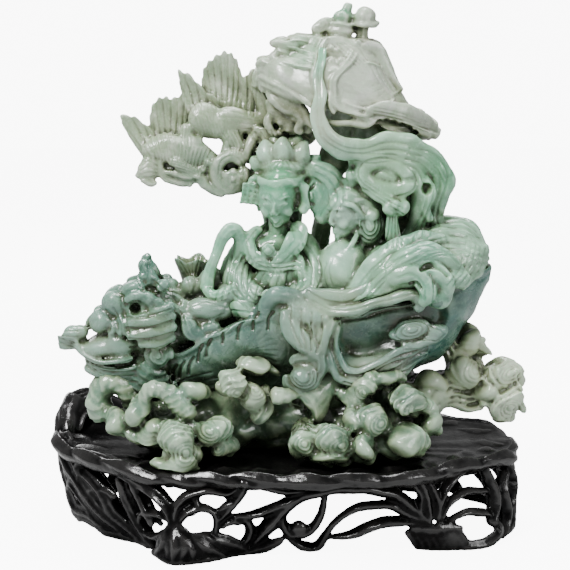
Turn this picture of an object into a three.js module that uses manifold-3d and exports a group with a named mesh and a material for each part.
// A jade carving of a dragon boat that sails on scrolled clouds, with two robed
// figures, a canopy and a pair of birds, on its openwork blackwood stand.
// Millimetres, +Z up. The viewer stands on the -Y side, the dragon looks towards -X.
// The origin is on the ground, under the middle of the stand.
import * as THREE from "three";
import { mergeVertices } from "three/addons/utils/BufferGeometryUtils.js";
import Module from "manifold-3d";

const wasm = await Module();
wasm.setup();

// Driving dimensions
const STAND_TOP = 64; // height of the table that the jade rests on
const SLAB = 9; // thickness of that table
const REST_GAP = 0.3; // the jade stands this far clear of the wood
const FRONT = [0, -1, 0];
const BACK = [0, 1, 0];
const UP = [0, 0, 1];
const LEFT = [-1, 0, 0];

// Shape tools

const vec = (p) => new THREE.Vector3(...p);

// The value at share t along a list of evenly spaced values.
function along(values, t) {
  if (!Array.isArray(values)) return values;
  const s = Math.min(t, 0.999999) * (values.length - 1);
  const i = Math.floor(s);
  return values.length === 1 ? values[0] : values[i] + (values[i + 1] - values[i]) * (s - i);
}

// A closed solid from a geometry, with its faces turned outwards.
function solid(geometry) {
  const bare = geometry.index ? geometry : mergeVertices(geometry);
  bare.deleteAttribute("normal");
  bare.deleteAttribute("uv");
  const merged = mergeVertices(bare, 1e-4);
  const mesh = { numProp: 3, vertProperties: merged.attributes.position.array };
  const faces = new Uint32Array(merged.index.array);
  const made = new wasm.Manifold(new wasm.Mesh({ ...mesh, triVerts: faces }));
  if (made.volume() > 0) return made;
  for (let i = 0; i < faces.length; i += 3) [faces[i], faces[i + 1]] = [faces[i + 1], faces[i]];
  return new wasm.Manifold(new wasm.Mesh({ ...mesh, triVerts: faces }));
}

// Joins a stack of equal rings into a closed skin.
function loft(rings) {
  const n = rings[0].length;
  const points = rings.flat();
  const index = [];
  for (let r = 0; r + 1 < rings.length; r++) {
    for (let k = 0; k < n; k++) {
      const [a, b] = [r * n + k, r * n + ((k + 1) % n)];
      index.push(a, b, b + n, a, b + n, a + n);
    }
  }
  const last = (rings.length - 1) * n;
  for (let k = 1; k + 1 < n; k++) {
    index.push(0, k + 1, k);
    index.push(last, last + k, last + k + 1);
  }
  const geometry = new THREE.BufferGeometry().setFromPoints(points);
  geometry.setIndex(index);
  return solid(geometry);
}

// An oval ring about c with half axes u and v. An outline(angle) scales its radius.
function ring(c, u, v, sides, outline = () => 1) {
  return Array.from({ length: sides }, (_, k) => {
    const angle = (2 * Math.PI * k) / sides;
    const r = outline(angle);
    return c
      .clone()
      .addScaledVector(u, r * Math.cos(angle))
      .addScaledVector(v, r * Math.sin(angle));
  });
}

// A rod, ribbon or leaf along a smooth line: half is its half width along the way, flat
// is thickness over width, and face is the direction its broad side looks at.
function strand(path, half, { flat = 1, face = FRONT, sides = 4, steps = 0 } = {}) {
  const curve = new THREE.CatmullRomCurve3(path.map(vec), false, "centripetal");
  const count = steps || path.length - 1;
  const rings = [];
  for (let i = 0; i <= count; i++) {
    const t = i / count;
    const run = curve.getTangent(t);
    const side = run.clone().cross(vec(Math.abs(run.dot(vec(face))) > 0.97 ? UP : face)).normalize();
    const out = side.clone().cross(run).normalize();
    const w = along(half, t);
    rings.push(ring(curve.getPoint(t), side.multiplyScalar(w), out.multiplyScalar(w * flat), sides));
  }
  return loft(rings);
}

// A spread of feathers, petals or pleats: one plate with a ridge to each tip and a notch
// between them. thick is half its thickness, notch how far the valleys reach.
function fan(root, tips, thick, { notch = 0.88, face = FRONT, open = 0.35 } = {}) {
  const start = vec(root);
  const ends = tips.map(vec);
  const rim = [];
  const reach = (p, share) => start.clone().lerp(p, share);
  const edge = (p, q) => reach(p.clone().add(p.clone().sub(q).multiplyScalar(open)), notch);
  ends.forEach((end, i) => {
    rim.push([i ? reach(ends[i - 1].clone().lerp(end, 0.5), notch) : edge(end, ends[1]), thick * 0.5]);
    rim.push([end, thick]);
  });
  rim.push([edge(ends.at(-1), ends.at(-2)), thick * 0.5]);
  rim.push([start, thick * 1.2]);
  const points = [1, -1].flatMap((side) => rim.map(([p, t]) => p.clone().addScaledVector(vec(face), side * t)));
  const n = rim.length;
  const index = [];
  for (let k = 0; k < n; k++) {
    const next = (k + 1) % n;
    if (k < n - 2) index.push(n - 1, k + 1, k, 2 * n - 1, n + k, n + k + 1);
    index.push(k, next, n + next, k, n + next, n + k);
  }
  const geometry = new THREE.BufferGeometry().setFromPoints(points);
  geometry.setIndex(index);
  return solid(geometry);
}

// A rounded mass with the given half sizes, rolled in the picture plane by roll degrees.
function egg(centre, size, roll = 0, [across, down] = [6, 3]) {
  const geometry = new THREE.SphereGeometry(1, across, down);
  geometry.rotateX(Math.PI / 2);
  geometry.scale(...size);
  geometry.rotateY(THREE.MathUtils.degToRad(-roll));
  geometry.translate(...centre);
  return solid(geometry);
}

// A scrolled cloud head: a domed boss that looks along axis and tapers back to its root.
function scroll(centre, [wide, high, deep], { axis = [0, -1, 0.25], roll = 0, sides = 5, root = 2.6 } = {}) {
  const profile = [[0, -root], [1, -0.3], [0.7, 0.6], [0, 1]];
  const geometry = new THREE.LatheGeometry(profile.map(([r, h]) => new THREE.Vector2(r, h)), sides);
  geometry.scale(wide, deep, high);
  geometry.rotateY(THREE.MathUtils.degToRad(roll));
  const turn = new THREE.Quaternion().setFromUnitVectors(new THREE.Vector3(0, 1, 0), vec(axis).normalize());
  geometry.applyQuaternion(turn);
  geometry.translate(...centre);
  return solid(geometry);
}

const join = (parts) => wasm.Manifold.union(parts);

// The hull of the dragon boat: a keel-less bowl that climbs from the neck to a high stern.

// x, middle y, half width, keel height and rim height of each frame
const HULL = [
  [-96, -24, 13, 118, 142],
  [-76, -20, 25, 108, 144],
  [-48, -12, 36, 104, 160],
  [10, -5, 45, 107, 176],
  [50, -1, 49, 112, 176],
  [88, 2, 50, 119, 180],
  [122, 4, 44, 136, 192],
  [154, 6, 18, 189, 203],
];

const DECK = 18; // depth of the deck under the rim

// Rings across the hull, moved in by inset, with their ends raised by lift over the rim
function hullFrames(inset, lift, depth) {
  return HULL.map(([x, y, half, keel, rim]) =>
    Array.from({ length: 9 }, (_, k) => {
      const angle = Math.PI * (1 + k / 8);
      const fall = depth ?? rim - keel;
      return new THREE.Vector3(x, y + (half - inset) * Math.cos(angle), rim + lift + (fall + lift) * Math.sin(angle));
    }),
  );
}

function hull() {
  const hollow = loft(hullFrames(6, 3, DECK).slice(1, 5));
  const flutes = Array.from({ length: 4 }, (_, k) => {
    const [x, y, rim] = [-57 + 13 * k, -43 - 1.6 * k, 153 + 5 * k];
    return strand([[x, y, rim], [x - 4, y, rim - 18]], [5, 3.5]);
  });
  const frame = strand(
    [[36, -50, 172], [38, -53, 150], [46, -50, 134], [62, -50, 130], [82, -51, 137], [102, -44, 142]],
    [3, 4, 5, 6, 6, 4],
  );
  const crest = [
    scroll([94, -47, 160], [17, 9, 7], { roll: 8 }),
    scroll([40, 47, 150], [20, 12, 7], { axis: BACK }),
  ];
  return [loft(hullFrames(0, 0)).subtract(hollow), frame, ...flutes, ...crest];
}

// The dragon's head that makes the prow, with its mouth open and its beard curled under.
function dragon() {
  return [
    egg([-103, -30, 175], [25, 25, 23], 0, [7, 4]),
    strand([[-108, -28, 172], [-96, -26, 150], [-84, -22, 132]], [20, 23, 22]),
    egg([-124, -31, 170], [16, 19, 13], -25),
    egg([-134, -31, 167], [8, 19, 9]),
    egg([-123, -31, 181], [9, 22, 8]),
    egg([-99, -48, 187], [9, 7, 6]),
    strand([[-104, -34, 192], [-105, -34, 202], [-100, -34, 212]], [8, 6, 5]),
    fan([-84, -46, 167], [[-113, -50, 178], [-117, -51, 168], [-113, -50, 157]], 7),
    strand([[-98, -34, 142], [-100, -34, 116]], [16, 15], { sides: 6 }),
    strand(
      [[-108, -32, 150], [-130, -36, 149], [-148, -38, 146], [-161, -38, 150], [-157, -38, 160]],
      [17, 16, 13, 8, 5],
      { flat: 0.6, face: UP, sides: 6 },
    ),
    strand([[-146, -26, 146], [-167, -24, 151]], [7, 5]),
    strand([[-104, -30, 132], [-126, -34, 127], [-148, -36, 132]], [14, 12, 8], { flat: 0.6, face: UP }),
    scroll([-94, -48, 141], [11, 9, 7]),
    strand([[-113, -46, 140], [-104, -50, 124], [-82, -46, 119]], [4, 6, 4]),
    strand([[-120, -44, 135], [-111, -49, 116], [-88, -46, 110]], [4, 6, 4]),
  ];
}

// Peaches, buds and an opened lotus leaf that lie in the bow.
function cargo() {
  const leaf = loft(
    [[-64, 178, 6], [-67, 196, 10], [-68, 205, 13.5]].map(([x, z, r], i) =>
      ring(vec([x, -8, z]), vec([r, 0, 0]), vec([0, r, 0]), 8, (a) => 1 + 0.1 * i * Math.cos(4 * a)),
    ),
  );
  return [
    leaf,
    egg([-54, -8, 168], [28, 26, 21], 0, [7, 4]),
    egg([-67, -24, 187], [9, 8, 8]),
    egg([-54, -26, 193], [8, 8, 12], -15),
    egg([-57, -35, 173], [18, 12, 9], 5),
    egg([-40, -32, 184], [11, 10, 9]),
  ];
}

// The seated goddess in the middle, with her raised crown of petals.
function goddess() {
  const petals = [[-21, 295], [-14, 302], [-3, 304], [8, 300], [18, 293]];
  return [
    strand([[-2, -8, 160], [-5, -12, 186], [-7, -13, 210], [-7, -12, 228]], [30, 23, 20, 8], { flat: 0.75, sides: 7 }),
    strand([[-6, -14, 222], [-6, -15, 240]], [6.5, 6]),
    egg([-5, -18, 250], [13.5, 14, 19], 0, [7, 5]),
    egg([2, -11, 258], [19, 17, 18], 0, [7, 4]),
    strand([[4, -8, 266], [8, -6, 284]], [16, 13], { flat: 0.8, sides: 6 }),
    fan([0, -10, 268], petals.map(([x, z]) => [x, -12, z]), 5),
    strand([[16, -10, 268], [33, -10, 269], [35, -10, 250], [23, -14, 238]], [6, 9, 9, 4], { flat: 0.7 }),
    strand([[-18, -13, 221], [-33, -20, 207], [-32, -33, 190], [-12, -42, 186]], [9, 12, 13, 9]),
    strand([[7, -12, 219], [18, -16, 202], [18, -30, 188], [4, -42, 184]], [9, 10, 10, 8]),
    strand([[-23, -20, 208], [-6, -29, 208], [13, -20, 208]], [5]),
    strand(
      [[-56, -30, 184], [-52, -31, 206], [-45, -30, 224], [-37, -28, 231], [-32, -24, 218], [-34, -22, 200]],
      [6, 4.5, 4, 6, 7, 9],
    ),
  ];
}

// The skirt over her knees, which falls in pleats across the rim and ends in a knot.
function skirt() {
  const pleats = [[-16, 166], [-7, 160], [3, 158], [13, 160], [23, 166]];
  return [
    egg([0, -36, 176], [25, 20, 17]),
    fan([1, -46, 190], pleats.map(([x, z]) => [x, -51, z]), 6, { notch: 0.9 }),
    strand([[16, -50, 180], [17, -56, 168], [18, -58, 158], [22, -57, 149], [22, -56, 140]], [14, 14, 11, 5, 5], { flat: 0.4 }),
    scroll([15, -55, 130], [13, 13, 9]),
    strand([[20, -46, 186], [32, -51, 178], [48, -53, 179], [64, -52, 185], [82, -50, 190], [98, -46, 188]], [4, 7, 6, 6, 6, 4]),
  ];
}

// The attendant who looks towards the dragon, her hair gathered in a coiled bun.
function attendant() {
  return [
    egg([42, -20, 196], [19, 18, 25], 0, [8, 6]),
    strand([[56, -14, 214], [60, -20, 184]], [8, 11]),
    strand([[47, -17, 212], [48, -17, 232]], [8, 6.5]),
    egg([44, -20, 242], [12, 12, 17], 8, [7, 5]),
    egg([54, -16, 246], [16, 16, 19], 0, [7, 4]),
    scroll([61, -30, 243], [8, 8, 5]),
    strand([[50, -26, 236], [56, -27, 225], [67, -24, 234]], [4, 6, 4]),
    strand([[51, -20, 258], [49, -23, 271], [50, -22, 288]], [4, 6, 5]),
  ];
}

// Long scarves that hang from the canopy and curl down to the stern.
function scarves() {
  return [
    strand(
      [[24, -34, 372], [22, -37, 345], [24, -39, 322], [29, -38, 304], [42, -36, 293], [60, -33, 292]],
      [4, 4, 4, 5, 7, 8],
      { flat: 0.5, steps: 7 },
    ),
    strand(
      [[54, -32, 291], [70, -32, 297], [86, -28, 296], [104, -20, 286], [116, -14, 274], [118, -12, 262]],
      [8, 9, 11, 12, 9, 4],
      { flat: 0.5 },
    ),
    strand(
      [[48, -26, 284], [64, -30, 282], [82, -30, 279], [92, -28, 269], [82, -29, 258], [66, -30, 257], [56, -28, 262]],
      [5, 5, 6, 7, 7, 5, 4],
    ),
    strand([[90, -26, 283], [100, -24, 268], [100, -20, 250], [93, -18, 236], [86, -16, 222]], [7, 8, 10, 10, 9], { flat: 0.5 }),
    strand([[108, -14, 282], [113, -8, 266], [109, -6, 250], [106, -8, 236], [108, -10, 222]], [9, 11, 9, 9, 9], { flat: 0.45 }),
    strand([[60, -26, 264], [84, -30, 248], [77, -28, 220]], [4, 5, 6]),
    strand([[64, -34, 198], [76, -38, 209], [94, -38, 216], [112, -32, 220], [130, -22, 220], [146, -10, 210]], [11, 14, 14, 14, 17, 13], {
      flat: 0.8,
      sides: 6,
    }),
    egg([124, -2, 203], [27, 34, 22], 0, [7, 4]),
    strand([[94, -46, 198], [108, -47, 190], [98, -48, 178]], [5, 7, 4]),
    egg([72, 14, 196], [34, 24, 24], 0, [7, 4]),
  ];
}

// The canopy over the boat: a tilted, hollow roof on a leaning pole.

// Height down the roof, middle x, half width, half depth and drop of its right side
const ROOF = [
  [371, 36, 28, 13, 2],
  [360, 34, 40, 20, 4],
  [345, 32, 50, 27, 8],
  [331, 35, 58, 32, 13],
  [318, 46, 68, 35, 18],
];

function roof(shrink, drop) {
  return ROOF.map(([z, x, half, deep, fall]) =>
    ring(
      vec([x, 2, z - drop]),
      vec([half - shrink, 0, -fall]),
      vec([0, deep - shrink, 0]),
      10,
      (a) => 1 + 0.04 * Math.cos(5 * a),
    ),
  );
}

function canopy() {
  const shell = loft(roof(0, 0)).subtract(loft(roof(5, 7)));
  return [
    shell,
    strand([[20, 16, 148], [26, 16, 225], [38, 12, 285], [40, 6, 345]], [10, 10, 16, 16], { flat: 0.6, sides: 6 }),
    strand([[70, 6, 190], [84, 2, 250], [66, 0, 288]], [14, 20, 22], { flat: 0.4 }),
    strand([[40, 0, 366], [40, 0, 375], [42, 0, 384], [44, 0, 389], [46, 0, 395]], [9, 11, 7, 6, 2], { sides: 6, face: BACK }),
    egg([28, -1, 379], [9, 5, 6], 20),
    strand([[56, 0, 368], [58, 0, 390]], [6, 8]),
    strand([[2, -2, 368], [-12, -2, 360], [-19, -2, 346]], [5, 6, 5]),
    strand([[84, 0, 314], [112, -4, 303]], [14, 5], { flat: 0.4, face: UP }),
    strand([[-16, -14, 332], [-8, -15, 316], [6, -14, 317], [14, -12, 302]], [6, 5, 5, 5]),
    strand([[-18, 0, 336], [-10, 0, 312], [6, 2, 290]], [8, 9, 10]),
  ];
}

// Two birds with raised wings on a flowering branch beside the crown.

function birds() {
  return [
    fan([-96, 2, 276], [[-120, 6, 309], [-112, 5, 311], [-103, 4, 306]], 5),
    fan([-82, 4, 280], [[-99, 8, 312], [-93, 8, 325], [-84, 8, 326], [-73, 8, 330]], 6),
    strand([[-100, 0, 290], [-86, -2, 287], [-72, -3, 288], [-58, -2, 286], [-48, 0, 280]], [9, 11, 12, 11, 8], { flat: 0.5 }),
    strand([[-94, 0, 284], [-99, -2, 275], [-106, -3, 271]], [7, 8, 5]),
    strand([[-95, 0, 282], [-90, 0, 267], [-78, 0, 263], [-54, -2, 264], [-30, -4, 263]], [4, 4, 5, 6, 6]),
    fan([-54, 4, 302], [[-75, 8, 345], [-68, 8, 334], [-59, 8, 330]], 5),
    fan([-44, 6, 302], [[-61, 9, 341], [-54, 9, 353], [-44, 9, 359], [-35, 9, 355], [-30, 8, 343]], 6),
    fan([-27, 4, 300], [[-30, 8, 341], [-20, 8, 336]], 5),
    strand([[-66, 2, 308], [-50, 0, 309], [-34, 0, 309], [-16, 2, 308]], [9, 12, 10, 8], { flat: 0.6 }),
    strand([[-38, 0, 304], [-36, -4, 286]], [8, 6]),
    scroll([-40, -7, 273], [16, 17, 7], { axis: FRONT, sides: 7 }),
    strand([[-32, 2, 290], [-10, 4, 297]], [7, 9]),
    strand([[-28, 2, 266], [-10, 4, 282]], [6, 8]),
  ];
}

// The bank of clouds under the boat: scroll heads on a rolling core.

// x, y, z, half width, half height and tilt of each scroll head on the viewer's side
const FRONT_CLOUDS = [
  [-117, -58, 91, 14, 12, 0],
  [-98, -62, 82, 16, 10, 0],
  [-55, -70, 92, 16, 12, -25],
  [-75, -80, 77, 15, 17, 0],
  [-65, -56, 115, 12, 10, 0],
  [-38, -56, 120, 13, 13, -20],
  [-19, -52, 122, 15, 13, 0],
  [14, -78, 82, 13, 13, 0],
  [38, -80, 81, 15, 13, 15],
  [58, -78, 77, 12, 11, 0],
  [82, -74, 79, 18, 12, 0],
  [66, -72, 97, 13, 12, 0],
  [94, -60, 105, 16, 11, 0],
  [108, -52, 89, 13, 12, 0],
  [58, -56, 115, 15, 12, -30],
  [27, -52, 112, 17, 15, -30],
];
// The same for the cluster that reaches past the stand on the right
const STERN_CLOUDS = [
  [110, -10, 112, 17, 12, 0],
  [138, -8, 120, 14, 14, 0],
  [137, 0, 140, 14, 11, 0],
  [163, 0, 115, 15, 10, 0],
  [167, 0, 93, 13, 13, 0],
];
// The same, plainer, for the far side
const BACK_CLOUDS = [
  [-88, 40, 88, 22, 16, 0],
  [-38, 64, 84, 24, 15, 0],
  [14, 68, 86, 24, 16, 0],
  [66, 58, 84, 24, 16, 0],
  [-12, 50, 112, 22, 12, 0],
  [42, 48, 112, 20, 12, 0],
];

// x, middle y and z, half depth and half height of the bank's frames
const BANK = [
  [-122, -24, 88, 20, 16],
  [-100, -18, 88, 52, 34],
  [-60, -4, 86, 70, 40],
  [-18, 6, 88, 60, 40],
  [26, 0, 86, 74, 40],
  [70, 0, 86, 70, 38],
  [100, 2, 90, 62, 34],
  [122, 8, 104, 26, 20],
];

function clouds() {
  const heads = (list, deep, axis, root) =>
    list.map(([x, y, z, wide, high, roll]) => scroll([x, y, z], [wide, high, deep], { roll, axis, root }));
  const bank = BANK.map(([x, y, z, deep, high]) => ring(vec([x, y, z]), vec([0, deep, 0]), vec([0, 0, high]), 7));
  return [
    loft(bank),
    ...heads(FRONT_CLOUDS, 9, [0, -1, 0.2]),
    ...heads(STERN_CLOUDS, 13, [0.1, -1, 0.2], 1),
    ...heads(BACK_CLOUDS, 11, [0, 1, 0.2]),
    strand([[-114, -36, 100], [-124, -38, 120], [-133, -38, 116], [-138, -38, 102], [-130, -38, 88]], [8, 10, 10, 10, 9], { flat: 1.4 }),
    strand([[-100, -58, 98], [-104, -60, 111], [-95, -60, 118], [-82, -60, 113], [-66, -60, 98]], [6, 7, 8, 8, 9], { flat: 1.4 }),
    strand([[96, 0, 104], [130, 2, 104], [166, 4, 104]], [14, 13, 9], { sides: 6 }),
    strand([[130, 0, 104], [126, 0, 134], [116, 0, 152]], [12, 12, 12]),
  ];
}

// The whole jade, sawn flat where it rests on the stand.
function carving() {
  const parts = [hull, dragon, cargo, goddess, skirt, attendant, scarves, canopy, birds, clouds].flatMap((make) => make());
  const below = new THREE.BoxGeometry(600, 600, 200).translate(0, 0, STAND_TOP + REST_GAP - 100);
  return join(parts).subtract(solid(below));
}

// The openwork stand: a hollow table on a fretted wall of bowed stems and leaf feet.

// Corners of the stand seen from above, at the ground and at the table: the wall leans
// out over the middle of the front and over the left end.
const GROUND_PLAN = [[-84, -97], [-58, -95], [-25, -75], [25, -70], [85, -65], [126, -69], [156, -55], [176, -22],
  [170, 40], [126, 82], [50, 95], [-50, 97], [-110, 92], [-150, 74], [-168, 15], [-142, -31], [-110, -52]];
const TABLE_PLAN = [[-89, -83], [-50, -92], [-15, -96], [30, -97], [75, -93], [112, -76], [150, -44], [174, -15],
  [168, 45], [126, 82], [50, 98], [-50, 99.5], [-112, 97], [-160, 84], [-179, 30], [-163, -20], [-128, -60]];
const WALL = 9; // thickness of the fretted wall
const corners = GROUND_PLAN.length;

// The stand's outline at height z, moved in by inset. share runs from 0 to 1 round it.
function edge(share, z, inset = 0) {
  const curve = new THREE.CatmullRomCurve3(
    GROUND_PLAN.map(([x, y], i) => {
      const rise = z / STAND_TOP;
      return vec([x + (TABLE_PLAN[i][0] - x) * rise, y + (TABLE_PLAN[i][1] - y) * rise, 0]);
    }),
    true,
    "centripetal",
  );
  const p = curve.getPoint(((share % 1) + 1) % 1);
  const shrink = 1 - inset / p.length();
  return vec([p.x * shrink, p.y * shrink, z]);
}

const outline = (z, inset) => Array.from({ length: corners }, (_, k) => edge(k / corners, z, inset));

// The openings in the front as the viewer sees them: corners by x and z
const FRONT_OPENINGS = [
  [[-86, 43], [-84, 50], [-72, 49], [-78, 42]],
  [[-73, 35], [-61, 45], [-44, 44], [-50, 37]],
  [[-71, 27], [-62, 31], [-50, 28], [-53, 21], [-65, 22]],
  [[-44, 31], [-36, 32], [-26, 26], [-28, 17], [-42, 24]],
  [[-31, 35], [-29, 48], [-10, 44]],
  [[-19, 14], [0, 35], [-2, 20]],
  [[6, 25], [12, 37], [25, 45], [14, 26]],
  [[15, 13], [30, 34], [34, 30], [22, 14]],
  [[36, 18], [59, 35], [80, 33], [46, 19]],
  [[34, 49], [48, 54], [64, 50], [50, 45]],
  [[77, 50], [94, 53], [102, 34]],
  [[119, 30], [131, 46], [141, 41]],
];
// The openings of the sides and the back, as shifts along the wall and up
const LEAF_OPENING = [[-0.026, -0.6], [0.01, -1], [0.026, 0.5], [-0.008, 1]];
const ARCH = [[-0.03, -2], [0.03, -2], [0.012, 9], [-0.012, 9]];

function openings() {
  const through = (outlineAt) => loft([-25, 40].map(outlineAt));
  const front = FRONT_OPENINGS.map((hole) => loft([-120, -50].map((y) => hole.map(([x, z]) => vec([x, y, z])))));
  const leaves = [];
  for (let k = 0; k < 7; k++) {
    for (const [share, z, high, lean] of [[0.47 + k / 14, 42, 7, 0.012], [0.505 + k / 14, 27, 7, -0.01]]) {
      leaves.push(through((inset) => LEAF_OPENING.map(([ds, dz]) => edge(share + ds + lean * dz, z + high * dz, inset))));
    }
  }
  const arches = [0.17, 0.47, 0.6, 0.73, 0.86].map((share) =>
    through((inset) => ARCH.map(([ds, z]) => edge(share + ds, z, inset))),
  );
  return [...front, ...leaves, ...arches];
}

// Leaf feet: share of the way round, half width as a share, height
const FEET = [[0.04, 0.055, 17], [0.325, 0.05, 17], [0.535, 0.03, 18], [0.665, 0.03, 18], [0.795, 0.03, 18], [0.93, 0.03, 20]];

// A spray of leaves laid on the wall, from a root at height z down to its tips.
function leaves(share, z, tips, thick) {
  const face = edge(share, 0).setZ(0).normalize().toArray();
  return fan(edge(share, z, 6).toArray(), tips.map(([ds, tip]) => edge(share + ds, tip, 0).toArray()), thick, { face, notch: 0.93 });
}

function stand() {
  const outside = loft([[0, 4], [STAND_TOP - 14, 4], [STAND_TOP - 6, -2], [STAND_TOP, 3]].map(([z, inset]) => outline(z, inset)));
  const inside = loft([-1, STAND_TOP - SLAB].map((z) => outline(z, 4 + WALL)));
  const ledge = strand([[-122, 86, 60], [-148, 80, 74], [-166, 58, 78], [-170, 30, 64]], [10, 14, 13, 8], { flat: 0.8, face: UP, sides: 6 });
  return join([
    outside.subtract(join([inside, ...openings()])),
    ledge,
    ...FEET.map(([share, half, z]) => leaves(share, z, [[-half, 5], [0, 1], [half, 5]], 5)),
    leaves(0.03, 62, [[-0.03, 56], [0, 50], [0.04, 55]], 3),
    leaves(0.88, 61, [[-0.04, 46], [0, 40], [0.03, 46]], 4),
  ]);
}

// The scene

function piece(name, shape, colour, roughness) {
  const { numProp, vertProperties, triVerts } = shape.getMesh();
  const position = new Float32Array((vertProperties.length / numProp) * 3);
  for (let i = 0; i < position.length / 3; i++) position.set(vertProperties.subarray(i * numProp, i * numProp + 3), i * 3);
  const geometry = new THREE.BufferGeometry();
  geometry.setAttribute("position", new THREE.BufferAttribute(position, 3));
  geometry.setIndex(new THREE.BufferAttribute(triVerts, 1));
  geometry.computeVertexNormals();
  const mesh = new THREE.Mesh(geometry, new THREE.MeshStandardMaterial({ color: colour, roughness, metalness: 0 }));
  mesh.name = name;
  return mesh;
}

const group = new THREE.Group();
group.add(piece("jade_carving", carving(), 0xa9bfa9, 0.25), piece("blackwood_stand", stand(), 0x1a1816, 0.45));

export default group;
